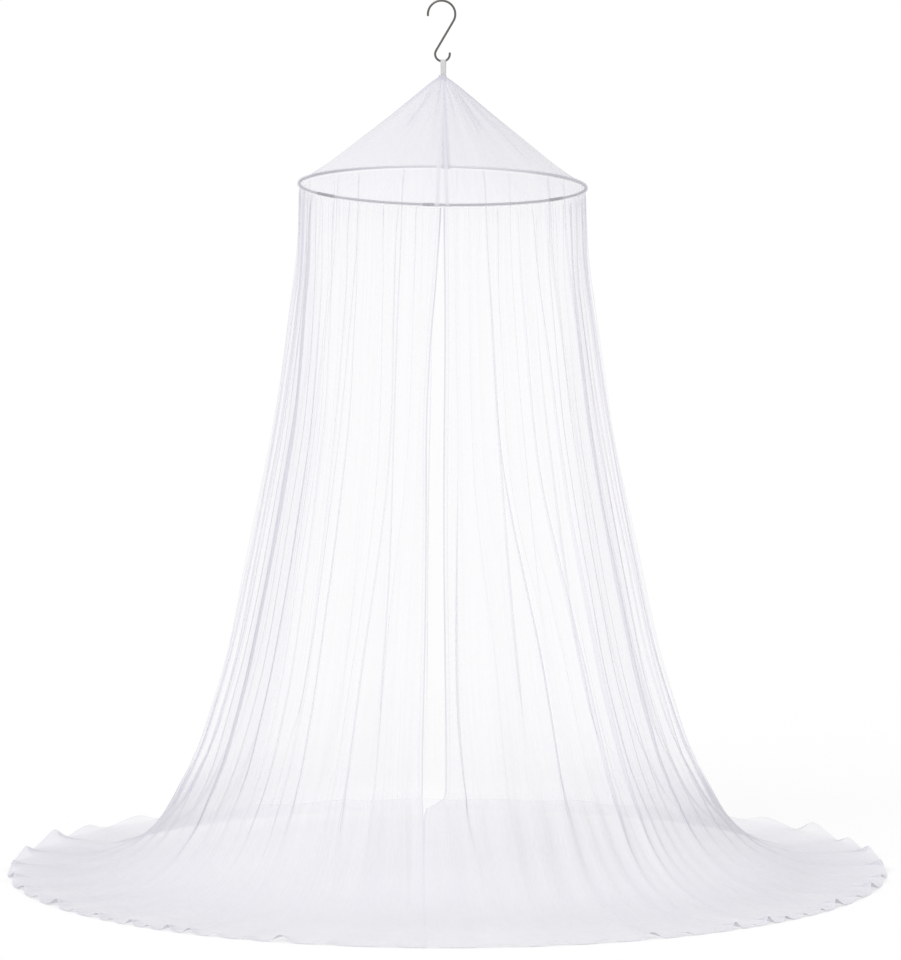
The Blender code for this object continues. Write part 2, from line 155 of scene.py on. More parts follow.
# A pleat's three layers lie over one another across the middle of its fold. One that laps this far
# is fully folded: how far its layers shift over each other, and how far they stand apart.
PLEAT_SHARE = 0.36
PLEAT_FULL = 0.003
PLEAT_SHIFT = 0.85
PLEAT_STAND = 0.22
PLEAT_THICKNESS = 0.0012
PLEAT_MIDDLE = 0.14  # the share of a fold's width that is pressed together
PRESSED_LAYERS = 2.8  # added along a pleat's middle, where its cloth is drawn together
# The fine gathers under the casing: how many, how high, and how far down they reach.
GATHERS = 118
GATHER_HEIGHT = 0.0026
GATHER_START = 0.012
GATHER_REACH = 0.035
GATHER_REACH_MORE = 0.05
GATHER_WAVES = ((0.6, 7, 0, 0.0), (0.4, 17, 0, 1.3))
CRIMP_SLOPE = 0.85  # how steep the finest creases are, between one column of points and the next
CRIMP_START = 0.015
# The net never hangs quite straight, and its pool is a little crumpled.
SWAY = 0.0022
SWAY_REACH = 0.25
SWAY_WAVES = ((0.5, 23, 9.0, 0.4), (0.3, 41, -13.0, 2.0), (0.2, 67, 21.0, 4.0))
MEANDER_WAVES = ((0.6, 9, 4.5, 0.0), (0.4, 19, -8.0, 2.2))
CRUMPLE = 0.0022
CRUMPLE_WAVES = (
    (0.35, 61, 60.0, 0.0), (0.30, 97, -85.0, 1.0), (0.20, 151, 140.0, 2.5), (0.15, 53, 190.0, 0.3)
)
# The two broad folds that hang before the sides: their angles at the four CREASE_HEIGHTS.
BROAD_FOLDS = ((-73.0, -61.0, -60.0, -61.0), (73.0, 60.0, 57.0, 59.0))
BROAD_FOLD_WIDTH = 11.5
BROAD_FOLD_LAYERS = (3.1, 1.7)
RAMP_SHIFT = 0.095  # how much further down the cloth its bunching starts at the sides than in front
WALL_FLAT = (6.4, 1.76)

RoofSection = namedtuple("RoofSection", "radius_share drop_share gather")
ROOF_SECTIONS = (
    RoofSection(0.000, 0.000, 0.0008),
    RoofSection(0.065, 0.055, 0.0016),
    RoofSection(0.170, 0.165, 0.0022),
    RoofSection(0.350, 0.358, 0.0018),
    RoofSection(0.590, 0.605, 0.0012),
    RoofSection(0.830, 0.850, 0.0007),
    RoofSection(1.000, 1.000, 0.0003),
)

# One row for each pulled crease in the roof: its angle near the peak and near the hoop, the two
# shares of the hoop's radius that it runs between, its height and its width.
RoofCrease = namedtuple("RoofCrease", "top foot start end height width")
ROOF_CREASES = (
    RoofCrease(36.0, 33.0, 0.12, 0.50, 0.0030, 0.0050),
    RoofCrease(-41.0, -31.0, 0.20, 0.44, 0.0026, 0.0050),
    RoofCrease(-14.0, -18.0, 0.08, 0.42, 0.0018, 0.0055),
    RoofCrease(17.0, 14.0, 0.06, 0.36, 0.0020, 0.0050),
    RoofCrease(62.0, 58.0, 0.15, 0.80, 0.0022, 0.0060),
    RoofCrease(-66.0, -70.0, 0.12, 0.70, 0.0022, 0.0060),
    RoofCrease(148.0, 151.0, 0.10, 0.65, 0.0022, 0.0060),
    RoofCrease(206.0, 209.0, 0.10, 0.60, 0.0020, 0.0055),
)

# The angles of the two front edges, left and right, and how dense the net looks at the front, the
# sides and the back, in layers of LAYER_COVER, are a section's last five values. The pool's back is
# set far sheerer than its front, to keep the brightness that the photo shows through the wall.
WallSection = namedtuple("WallSection", "radius height depth standing left right front side back")
WALL_SECTIONS = (
    WallSection(0.2975, 1.4425, 0.0016, 0.00, -0.4, 0.4, 1.4, 1.8, 1.6),
    WallSection(0.2995, 1.4050, 0.0075, 0.00, -0.8, 0.4, 0.85, 1.3, 1.1),
    WallSection(0.3035, 1.3150, 0.0120, 0.00, -2.2, 0.4, 0.6, 0.9, 0.8),
    WallSection(0.3240, 1.1470, 0.0150, 0.00, -4.6, 0.4, 0.5, 0.7, 0.7),
    WallSection(0.3490, 0.9780, 0.0160, 0.00, -5.5, 0.4, 0.5, 0.7, 0.65),
    WallSection(0.3800, 0.8090, 0.0170, 0.00, -5.2, 0.4, 0.5, 0.7, 0.65),
    WallSection(0.4140, 0.6410, 0.0180, 0.00, -4.9, 0.4, 0.55, 0.7, 0.65),
    WallSection(0.4510, 0.4720, 0.0190, 0.00, -4.8, 0.4, 0.6, 0.7, 0.65),
    WallSection(0.4880, 0.3450, 0.0190, 0.00, -4.8, 0.4, 0.7, 0.8, 0.7),
    WallSection(0.5150, 0.2650, 0.0180, 0.00, -4.7, 0.3, 1.5, 0.9, 1.0),
    WallSection(0.5240, 0.2450, 0.0177, 0.02, -4.7, -0.1, 2.6, 0.9, 1.0),
    WallSection(0.5330, 0.2230, 0.0174, 0.05, -4.5, -4.0, 4.6, 1.0, 1.1),
    WallSection(0.5420, 0.2050, 0.0170, 0.10, -4.4, -4.3, 6.0, 1.4, 1.2),
    WallSection(0.5880, 0.1180, 0.0120, 0.30, -4.1, -4.2, 8.4, 6.5, 1.4),
    WallSection(0.6430, 0.0590, 0.0070, 0.60, -3.8, -3.9, 9.2, 9.0, 0.6),
    WallSection(0.7150, 0.0210, 0.0050, 0.90, -3.5, -3.6, 5.8, 9.5, 0.4),
    WallSection(0.8000, 0.0000, 0.0050, 1.00, -3.1, -3.2, 4.8, 8.6, 0.4),
    WallSection(0.8700, 0.0000, 0.0110, 1.00, -2.9, -3.0, 4.6, 7.8, 0.5),
    WallSection(0.9190, 0.0000, 0.0230, 1.00, -2.8, -2.9, 4.6, 7.6, 0.6),
)
# How close the wall's rings of points lie, down to each height: (height, step).
ROW_STEPS = ((1.405, 0.0045), (1.25, 0.0100), (0.35, 0.0260), (0.05, 0.0120), (0.0, 0.0090))

# One row for each crease round the wall, from the outer edge to the inner one: the angles of its
# crest at the four CREASE_HEIGHTS, its depth as a share of the section's, how far it leans over,
# and how many millimetres its pleat laps under the hoop, at the middle and near the floor.
Crease = namedtuple("Crease", "top middle low floor depth lean lap_top lap_middle lap_low")
CREASES = (
    Crease(4.5, 5.0, 3.3, 7.5, 0.45, 0.10, 0, 1.2, 6),
    Crease(10.5, 9.8, 14.0, 14.5, 0.70, 0.20, 1.8, 1.8, 1.8),
    Crease(13.8, 14.2, 20.3, 21.0, 0.50, -0.10, 0, 0, 0),
    Crease(16.8, 18.5, 26.5, 27.5, 1.10, 0.35, 0, 3, 5.4),
    Crease(22.5, 22.0, 31.3, 32.5, 0.60, 0.00, 2.4, 1.8, 0),
    Crease(26.5, 26.5, 35.5, 36.5, 0.45, 0.00, 0, 0, 1.2),
    Crease(30.5, 31.0, 39.5, 40.5, 1.25, 0.35, 1.8, 3.6, 6),
    Crease(34.2, 36.0, 42.6, 43.5, 0.45, -0.10, 0, 0, 0),
    Crease(38.0, 41.5, 45.3, 46.5, 1.20, 0.30, 3.6, 3.6, 0),
    Crease(46.0, 45.6, 47.9, 49.8, 0.85, 0.10, 1.8, 3, 3),
    Crease(52.0, 50.5, 52.0, 53.5, 0.60, 0.00, 1.2, 1.2, 1.2),
    Crease(56.5, 54.3, 55.5, 57.5, 0.45, 0.00, 0, 0, 0),
    Crease(61.0, 58.5, 59.3, 62.0, 1.40, 0.40, 16, 20, 18),
    Crease(68.0, 66.0, 67.0, 68.0, 0.75, -0.15, 4.8, 3.6, 3),
    Crease(74.5, 74.0, 75.0, 75.5, 1.15, 0.25, 0, 2.4, 3.6),
    Crease(83.0, 83.0, 83.0, 83.0, 0.90, 0.10, 2.4, 3, 1.8),
    Crease(92.5, 92.2, 91.8, 91.5, 1.15, -0.20, 1.2, 3, 3.6),
    Crease(102.0, 102.2, 102.4, 102.5, 0.95, 0.15, 3, 2.4, 1.2),
    Crease(111.0, 111.2, 111.4, 111.5, 0.70, -0.10, 0, 1.8, 2.4),
    Crease(122.0, 121.6, 121.2, 121.0, 1.20, 0.30, 2.4, 3.6, 4.2),
    Crease(132.5, 132.3, 132.1, 132.0, 0.90, -0.25, 3, 1.2, 0),
    Crease(143.0, 143.2, 143.4, 143.5, 1.05, 0.15, 0, 2.4, 3.6),
    Crease(152.0, 152.4, 152.8, 153.0, 0.70, 0.05, 1.8, 1.8, 1.2),
    Crease(163.5, 163.1, 162.7, 162.5, 1.25, -0.30, 2.4, 3, 3.6),
    Crease(174.0, 174.2, 174.4, 174.5, 0.85, 0.20, 1.8, 0, 0),
    Crease(184.0, 184.2, 184.4, 184.5, 1.00, -0.10, 0, 2.4, 3),
    Crease(195.5, 194.9, 194.3, 194.0, 1.20, 0.25, 3, 3.6, 3.6),
    Crease(205.0, 205.2, 205.4, 205.5, 0.75, -0.05, 0, 0, 1.8),
    Crease(216.0, 216.2, 216.4, 216.5, 1.10, -0.30, 2.4, 3, 3),
    Crease(226.5, 226.3, 226.1, 226.0, 0.95, 0.20, 1.8, 1.8, 1.2),
    Crease(236.0, 236.4, 236.8, 237.0, 0.80, -0.15, 0, 1.8, 2.4),
    Crease(247.5, 247.1, 246.7, 246.5, 1.20, 0.25, 2.4, 3, 3.6),
    Crease(257.0, 257.2, 257.4, 257.5, 0.90, -0.20, 3, 1.8, 0),
    Crease(267.5, 267.7, 267.9, 268.0, 1.05, 0.10, 1.2, 3, 3),
    Crease(277.0, 278.0, 277.5, 277.0, 1.00, -0.25, 1.8, 3, 2.4),
    Crease(285.5, 287.0, 285.5, 285.0, 0.90, 0.15, 3, 3, 3),
    Crease(290.0, 293.5, 292.0, 291.5, 0.60, -0.15, 0, 0, 0),
    Crease(294.5, 300.0, 298.5, 297.5, 1.40, -0.40, -16, -20, -20),
    Crease(299.5, 304.8, 303.8, 302.5, 0.60, 0.00, 0, 0, 0),
    Crease(305.0, 309.2, 309.0, 307.8, 0.90, -0.15, 0, -3, -3),
    Crease(308.3, 312.8, 313.2, 311.2, 0.45, -0.10, 0, 0, 0),
    Crease(311.5, 316.3, 317.0, 314.5, 1.00, -0.20, -3.6, -3.6, -6),
    Crease(315.6, 318.8, 319.6, 317.8, 0.40, 0.00, 0, 0, 0),
    Crease(320.0, 321.8, 322.2, 321.0, 1.00, -0.20, -4.8, -2.4, 0),
    Crease(325.2, 327.0, 325.5, 324.5, 0.90, -0.20, -1.2, -4.2, -7.2),
    Crease(331.0, 332.8, 330.2, 328.8, 0.50, 0.00, 0, 0, 0),
    Crease(336.0, 338.5, 334.6, 333.4, 0.60, 0.00, -2.4, -2.4, -1.8),
    Crease(342.6, 343.6, 338.9, 338.0, 1.20, -0.35, -3, -4.2, -5.4),
    Crease(349.6, 348.2, 344.2, 344.0, 0.70, -0.10, -2.4, -1.2, -2.4),
    Crease(354.9, 351.3, 350.2, 353.0, 0.30, 0.00, 0, 0, 0),
)
# Where the points of one fold lie across it, from -1 at its start to 1 at its end.
FOLD_SPOTS = (
    -1.0, -0.72, -0.50, -0.36, -0.27, -0.18, -0.09, 0.0, 0.09, 0.18, 0.27, 0.36, 0.50, 0.72
)

# Looks.
NET_WHITE = (0.880, 0.870, 0.940)
NET_SHEER = (0.875, 0.835, 0.985)  # a single layer looks a little more lavender
# One layer covers this share of the view. The layers are set against the photo's brightness and
# aren't a count of the cloth: the plain wall has less than one, and together they come to more
# cloth than WALL_FLAT_AREA and ROOF_FLAT_AREA.
LAYER_COVER = 0.09
NET_CELL = 0.0015
TAPE_WHITE = (0.94, 0.94, 0.95)
HOOP_GREY = (0.56, 0.56, 0.58)
# The paler middle of the hoop's far side is painted light, standing in for the lit net in front of
# it.
HOOP_PAINTED_LIGHT = (0.86, 0.86, 0.88)
SLEEVE_GREY = (0.30, 0.30, 0.31)
HOOK_STEEL = (0.16, 0.15, 0.14)

# Light, floor and camera. The photo's ground and background are white, so both are brighter
# where the camera sees them than the light they give.
FLOOR_REACH = 60.0
FLOOR_GREY = (0.84, 0.84, 0.84)
FLOOR_SEEN = 0.276
WORLD_STRENGTH = 0.70
WORLD_SEEN = 0.29
WHITE = (1.0, 1.0, 1.0)
SUN_STRENGTH = 0.77
SUN_SPREAD = math.radians(35.0)
SUN_DIRECTION = Vector((0.55, 0.75, -0.85))
SENSOR_WIDTH = 36.0
CLIP_RANGE = (1.0, 400.0)
CLEAR_BOUNCES = 64  # a view through the net passes many layers of it
CAMERA_PLACE = Vector((0.0167, -40.0, 6.83))
CAMERA_AIM = Vector((0.0167, 0.0, 0.830))
CAMERA_LENS = 728.0


# ---------------------------------------------------------------- shape helpers

def smooth_step(share):
    share = np.clip(share, 0.0, 1.0)
    return share * share * (3 - 2 * share)


def smooth_line(knots, values, spots):
    """A smooth line through the values at these rising knots that never overshoots them.

    Values may hold several columns, one line each.
    """
    knots = np.asarray(knots, float)
    values = np.asarray(values, float)
    flat = values.ndim == 1
    if flat:
        values = values[:, None]
    spots = np.clip(spots, knots[0], knots[-1])
    gaps = np.diff(knots)[:, None]
    slopes = np.diff(values, axis=0) / gaps
    tangents = np.zeros_like(values)
    tangents[0], tangents[-1] = slopes[0], slopes[-1]
    before, after = slopes[:-1], slopes[1:]
    same_way = before * after > 0
    total = np.where(same_way, before + after, 1.0)
    tangents[1:-1] = np.where(same_way, 2 * before * after / total, 0.0)
    index = np.clip(np.searchsorted(knots, spots, side="right") - 1, 0, len(knots) - 2)
    gap = gaps[index]
    t = ((spots - knots[index])[:, None]) / gap
    line = (
        (2 * t ** 3 - 3 * t ** 2 + 1) * values[index]
        + (t ** 3 - 2 * t ** 2 + t) * gap * tangents[index]
        + (3 * t ** 2 - 2 * t ** 3) * values[index + 1]
        + (t ** 3 - t ** 2) * gap * tangents[index + 1]
    )
    return line[:, 0] if flat else line


def settled(points):
    """The points lowered or raised as the hoop's tilt takes them, fading out above and below it."""
    above = points[..., 2] - HOOP_HEIGHT
    reach = np.where(above > 0, ROOF_DROP, TILT_REACH)
    share = 1.0 - smooth_step((np.abs(above) - TILT_RIGID) / reach)
    moved = points.copy()
    moved[..., 2] -= points[..., 0] * math.tan(HOOP_TILT) * share
    return moved


def around(angles, radii, heights):
    """Points at these angles, in degrees from the front, radii and heights."""
    turn = np.radians(angles)
    return np.stack(
        np.broadcast_arrays(radii * np.sin(turn), -radii * np.cos(turn), heights), axis=-1
    )


def turned(angles):
    """These angles brought between -180 and 180 degrees."""
    return (angles + 180.0) % 360.0 - 180.0


def ripple(turn, down, phase, waves):
    """A slow uneven wave over the net.

    Each of its waves is a share, times round, times 2 pi a metre and an offset.
    """
    total = 0.0
    for share, times_round, times_down, offset in waves:
        total = total + share * np.sin(times_round * turn + times_down * down + offset + phase)
    return total


def add_object(name, data):
    obj = bpy.data.objects.new(name, data)
    bpy.context.scene.collection.objects.link(obj)
    return obj


def grid_object(name, points, layers, cloth, material):
    """A sheet of cloth as one grid of quads, with its "layers" and its flat place in metres."""
    rows, columns = points.shape[:2]
    index = np.arange(rows * columns).reshape(rows, columns)
    quads = np.stack(
        (index[:-1, :-1], index[1:, :-1], index[1:, 1:], index[:-1, 1:]), axis=-1
    ).reshape(-1, 4)
    mesh = bpy.data.meshes.new(name)
    mesh.vertices.add(rows * columns)
    mesh.vertices.foreach_set("co", points.reshape(-1))
    mesh.loops.add(quads.size)
    mesh.loops.foreach_set("vertex_index", quads.reshape(-1))
    mesh.polygons.add(len(quads))
    mesh.polygons.foreach_set("loop_start", np.arange(0, quads.size, 4))
    mesh.polygons.foreach_set("use_smooth", np.ones(len(quads), bool))
    mesh.update()
    mesh.validate()
    attribute = mesh.attributes.new("layers", "FLOAT", "POINT")
    attribute.data.foreach_set("value", layers.reshape(-1).astype(np.float32))
    uv = mesh.uv_layers.new(name="cloth")
    uv.data.foreach_set("uv", cloth.reshape(-1, 2)[quads.reshape(-1)].reshape(-1))
    mesh.materials.append(material)
    return add_object(name, mesh)


def smooth_object(name, points, faces, material):
    mesh = bpy.data.meshes.new(name)
    mesh.from_pydata(points.reshape(-1, 3).tolist(), [], faces)
    mesh.shade_smooth()
    mesh.materials.append(material)
    return add_object(name, mesh)


def wire(name, path, radii, sides, material):
    """A round wire along this path in the XZ plane, with these radii, its two ends capped."""
    along = np.gradient(path, axis=0)
    along /= np.linalg.norm(along, axis=1)[:, None]
    side = np.cross(along, (0.0, 1.0, 0.0))
    side /= np.linalg.norm(side, axis=1)[:, None]
    up = np.cross(along, side)
    turns = np.arange(sides) * 2 * math.pi / sides
    rings = path[:, None] + radii[:, None, None] * (
        np.cos(turns)[None, :, None] * side[:, None] + np.sin(turns)[None, :, None] * up[:, None]
    )
    index = np.arange(len(path) * sides).reshape(len(path), sides)
    near, far = index[:-1], index[1:]
    quads = np.stack((near, np.roll(near, -1, axis=1), np.roll(far, -1, axis=1), far), axis=-1)
    faces = quads.reshape(-1, 4).tolist() + [index[0].tolist()[::-1], index[-1].tolist()]
    return smooth_object(name, rings, faces, material)


def rounded_ends(path, radius):
    """The radii of a wire along this path whose two ends are rounded off."""
    steps = np.linalg.norm(np.diff(path, axis=0), axis=1)
    along = np.concatenate(([0.0], np.cumsum(steps)))
    to_end = np.minimum(along, along[-1] - along)
    inside = np.clip(1.0 - to_end / radius, 0.0, 1.0)
    return radius * np.sqrt(np.maximum(1.0 - inside ** 2, 0.02))


# ---------------------------------------------------------------- materials

class Nodes:
    """A short way to build a material's nodes."""

    def __init__(self, material):
        material.use_nodes = True
        self.tree = material.node_tree
        self.shader = self.tree.nodes["Principled BSDF"]

    def add(self, kind, **settings):
        node = self.tree.nodes.new(kind)
        for name, value in settings.items():
            setattr(node, name, value)
        return node

    def link(self, output, target):
        self.tree.links.new(output, target)

    def math(self, operation, first, second=None, third=None, clamp=False):
        node = self.add("ShaderNodeMath", operation=operation, use_clamp=clamp)
        for socket, value in zip(node.inputs, (first, second, third)):
            if value is None:
                continue
            if isinstance(value, (int, float)):
                socket.default_value = value
            else:
                self.link(value, socket)
        return node.outputs[0]

    def noise(self, vector, scale, detail, roughness=0.5):
        node = self.add("ShaderNodeTexNoise")
        node.inputs["Scale"].default_value = scale
        node.inputs["Detail"].default_value = detail
        node.inputs["Roughness"].default_value = roughness
        self.link(vector, node.inputs["Vector"])
        return node.outputs["Fac"]

    def stretched(self, vector, share, turn=0.0):
        """The cloth's place with its length cut to this share, so that noise runs along it."""
        node = self.add("ShaderNodeMapping")
        node.inputs["Location"].default_value = (turn, turn, turn)
        node.inputs["Scale"].default_value = (1.0, share, 1.0)
        self.link(vector, node.inputs["Vector"])
        return node.outputs["Vector"]

    def line(self, value, width):
        """1 along the lines where this noise is halfway up its range, and 0 beside them."""
        away = self.math("ABSOLUTE", self.math("SUBTRACT", value, 0.5))
        return self.math("MULTIPLY_ADD", away, -1.0 / width, 1.0, clamp=True)

    def parts(self, vector):
        node = self.add("ShaderNodeSeparateXYZ")
        self.link(vector, node.inputs[0])
        return node.outputs

    def bump(self, height, strength, distance):
        node = self.add("ShaderNodeBump")
        node.inputs["Strength"].default_value = strength
        node.inputs["Distance"].default_value = distance
        self.link(height, node.inputs["Height"])
        self.link(node.outputs[0], self.shader.inputs["Normal"])

    def mix(self, factor, first, second):
        node = self.add("ShaderNodeMix", data_type="RGBA")
        self.link(factor, node.inputs[0])
        node.inputs[6].default_value = (*first, 1.0)
        node.inputs[7].default_value = (*second, 1.0)
        return node.outputs[2]


def net_material(name, streaks, lines, fine_lines, fine_reach):
    """Fine knitted net: pale threads round small holes, denser where more layers lie together.

    Creases too narrow for the mesh run down it as lines. The finest end fine_reach metres down.
    """
    material = bpy.data.materials.new(name)
    n = Nodes(material)
    cloth = n.add("ShaderNodeUVMap", uv_map="cloth").outputs["UV"]
    across, down, _ = n.parts(cloth)
    layers = n.add("ShaderNodeAttribute", attribute_name="layers").outputs["Fac"]

    # Broad and narrow streaks along the net, and the lines of its small creases. The marks of
    # hanging fade where the wall comes down to the floor, from 1.1 to 1.45 m down the cloth.
    hanging = n.math("MULTIPLY_ADD", down, -3.0, 4.35, clamp=True)
    hanging = n.math("MULTIPLY_ADD", hanging, 0.8, 0.2)
    broad = n.math("SUBTRACT", n.noise(n.stretched(cloth, 0.06), 9.0, 2.0), 0.5)
    broad = n.math("MULTIPLY_ADD", broad, streaks, 1.0)
    narrow = n.math("SUBTRACT", n.noise(n.stretched(cloth, 0.03), 80.0, 2.0), 0.5)
    narrow = n.math("MULTIPLY_ADD", n.math("MULTIPLY", narrow, hanging), 0.16 * streaks, 1.0)
    crease = n.line(n.noise(n.stretched(cloth, 0.035), 21.0, 1.0), 0.035)
    crease = n.math("MULTIPLY_ADD", n.math("MULTIPLY", crease, hanging), lines, 1.0)
    fine = n.line(n.noise(n.stretched(cloth, 0.05, 3.0), 48.0, 1.0), 0.055)
    near_top = n.math("MULTIPLY_ADD", down, -1.0 / fine_reach, 1.0, clamp=True)
    fine = n.math("MULTIPLY_ADD", n.math("MULTIPLY", fine, near_top), fine_lines, 1.0)
    streaked, creased = n.math("MULTIPLY", broad, narrow), n.math("MULTIPLY", crease, fine)
    uneven = n.math("MULTIPLY", streaked, creased)
    clear = n.math("POWER", 1.0 - LAYER_COVER, n.math("MULTIPLY", layers, uneven))
    amount = n.math("SUBTRACT", 1.0, clear)

    # Three waves at 60 degrees to each other peak together in the middle of each hole.
    pitch = 2 * math.pi / NET_CELL
    first = n.math("COSINE", n.math("MULTIPLY", across, pitch))
    slant = n.math("MULTIPLY", down, pitch * math.sqrt(3) / 2)
    second = n.math("COSINE", n.math("MULTIPLY_ADD", across, pitch / 2, slant))
    third = n.math("COSINE", n.math("MULTIPLY_ADD", across, -pitch / 2, slant))
    holes = n.math("ADD", n.math("ADD", first, second), third)
    depth = n.math("MULTIPLY", n.math("MULTIPLY", amount, clear), -0.32)
    n.link(n.math("MULTIPLY_ADD", holes, depth, amount, clamp=True), n.shader.inputs["Alpha"])

    tone = n.math("MULTIPLY_ADD", n.noise(cloth, 7.0, 2.0), 0.3, -0.15)
    bunched = n.math("MULTIPLY_ADD", layers, 0.2, tone, clamp=True)
    n.link(n.mix(bunched, NET_SHEER, NET_WHITE), n.shader.inputs["Base Color"])
    n.shader.inputs["Roughness"].default_value = 0.85
    n.shader.inputs["Specular IOR Level"].default_value = 0.15
    n.shader.inputs["Sheen Weight"].default_value = 0.10
    return material


def marked_metal(name, metallic, roughness):
    """Drawn wire, a little rough, with small marks where it has been handled."""
    material = bpy.data.materials.new(name)
    n = Nodes(material)
    place = n.add("ShaderNodeTexCoord").outputs["Object"]
    marks = n.noise(place, 420.0, 5.0, 0.65)
    n.link(n.math("MULTIPLY_ADD", marks, 0.22, roughness - 0.08), n.shader.inputs["Roughness"])
    n.bump(n.noise(place, 2400.0, 2.0), 0.12, 0.0002)
    n.shader.inputs["Metallic"].default_value = metallic
    return material, n, place, marks


def metal_material(name, colour, metallic, roughness, wear):
    """Bare metal whose marks are paler by this share."""
    material, n, _, marks = marked_metal(name, metallic, roughness)
    lighter = tuple(min(1.0, part * (1.0 + wear)) for part in colour)
    n.link(n.mix(marks, colour, lighter), n.shader.inputs["Base Color"])
    return material


def hoop_material():
    """Satin grey paint, paler along the middle of the hoop's far side as painted light from the lit
    net before it.
    """
    material, n, place, _ = marked_metal("hoop_paint", 0.0, 0.42)
    # Painted light: the far side's middle turns paler towards the back.
    far_side_light = n.math("MULTIPLY_ADD", n.parts(place)[1], 9.0, -1.7, clamp=True)
    n.link(n.mix(far_side_light, HOOP_GREY, HOOP_PAINTED_LIGHT), n.shader.inputs["Base Color"])
    return material


def tape_material():
    """Woven cotton tape: ribs across it, edges darker as painted shade, and a stitched band where
    it enters the net, darker partly as painted shade.
    """
    material = bpy.data.materials.new("woven_tape")
    n = Nodes(material)
    cloth = n.add("ShaderNodeUVMap", uv_map="cloth").outputs["UV"]
    across, down, _ = n.parts(cloth)
    ribs = n.math("SINE", n.math("MULTIPLY", down, 2 * math.pi / TAPE_RIB))
    warp = n.math("SINE", n.math("MULTIPLY", across, 2 * math.pi / TAPE_WARP))
    weave = n.math("MULTIPLY", ribs, warp)
    shade = n.math("MULTIPLY_ADD", weave, 0.25, 0.5)
    layers = n.add("ShaderNodeAttribute", attribute_name="layers").outputs["Fac"]
    # The darker edges and the darker band where the tape enters the net are painted shade, carried
    # in "layers".
    shade = n.math("MULTIPLY_ADD", layers, 0.35, shade, clamp=True)
    darker = tuple(part * 0.80 for part in TAPE_WHITE)
    n.link(n.mix(shade, TAPE_WHITE, darker), n.shader.inputs["Base Color"])
    n.bump(weave, 0.5, 0.0002)
    n.shader.inputs["Roughness"].default_value = 0.85
    n.shader.inputs["Specular IOR Level"].default_value = 0.2
    return material


# ---------------------------------------------------------------- the wall

def wall_profile():
    """The wall's rings of points: their sections, how far down the cloth they lie, its normal."""
    table = np.array(WALL_SECTIONS)
    steps = np.hypot(np.diff(table[:, 0]), np.diff(table[:, 1]))
    knots = np.concatenate(([0.0], np.cumsum(steps)))
    spots = [0.0]
    while spots[-1] < knots[-1] - 1.5 * HEM_WIDTH:
        height = np.interp(spots[-1], knots, table[:, 1])
        step = next(step for lowest, step in ROW_STEPS if height >= lowest - 1e-9)
        spots.append(spots[-1] + step)
    hem = [knots[-1] - HEM_WIDTH * share for share in HEM_ROWS]
    spots = np.array([spot for spot in spots if spot < hem[0] - 0.002] + hem)
    sections = smooth_line(knots, table, spots)
    out, down = np.gradient(sections[:, 0], spots), -np.gradient(sections[:, 1], spots)
    length = np.hypot(out, down)
    return sections, spots, down / length, out / length


def crease_lines(heights):
    """The angles of the creases' crests at each of these heights."""
    anchors = np.array([crease[:4] for crease in CREASES]).T
    knots = np.array(CREASE_HEIGHTS)[::-1]
    return smooth_line(knots, anchors[::-1], heights)


def crease_laps(heights):
    """How far each crease's pleat laps at each of these heights, in metres."""
    anchors = np.array([(crease.lap_top, *crease[6:], 0.0, 0.0) for crease in CREASES]).T
    knots = np.array(LAP_HEIGHTS)[::-1]
    return smooth_line(knots, anchors[::-1] * MILLIMETRE, heights)


def wall_columns(radius, outer, inner, starts, crests, ends):
    """The wall's columns of points from its right edge to its left one.

    For each: its angle on every ring, its fold, its spot across that fold, and its hem's layers.
    """
    last = len(CREASES) - 1
    columns = [
        (outer + np.degrees(RIGHT_HEM_WIDTH * share / radius), 0, -1.0, hem)
        for share, hem in HEM_LAYERS
    ]
    for fold in range(len(CREASES)):
        start, crest, end = starts[:, fold], crests[:, fold], ends[:, fold]
        for spot in FOLD_SPOTS:
            reach = crest - start if spot < 0 else end - crest
            columns.append((crest + reach * spot, fold, spot, 0.0))
    columns.append((ends[:, last], last, 1.0, 0.0))
    columns += [
        (inner - np.degrees(LEFT_HEM_WIDTH * share / radius), last, 1.0, hem)
        for share, hem in reversed(HEM_LAYERS)
    ]
    angle, fold, spot, hem = zip(*columns)
    return np.array(angle).T, np.array(fold), np.array(spot), np.array(hem)


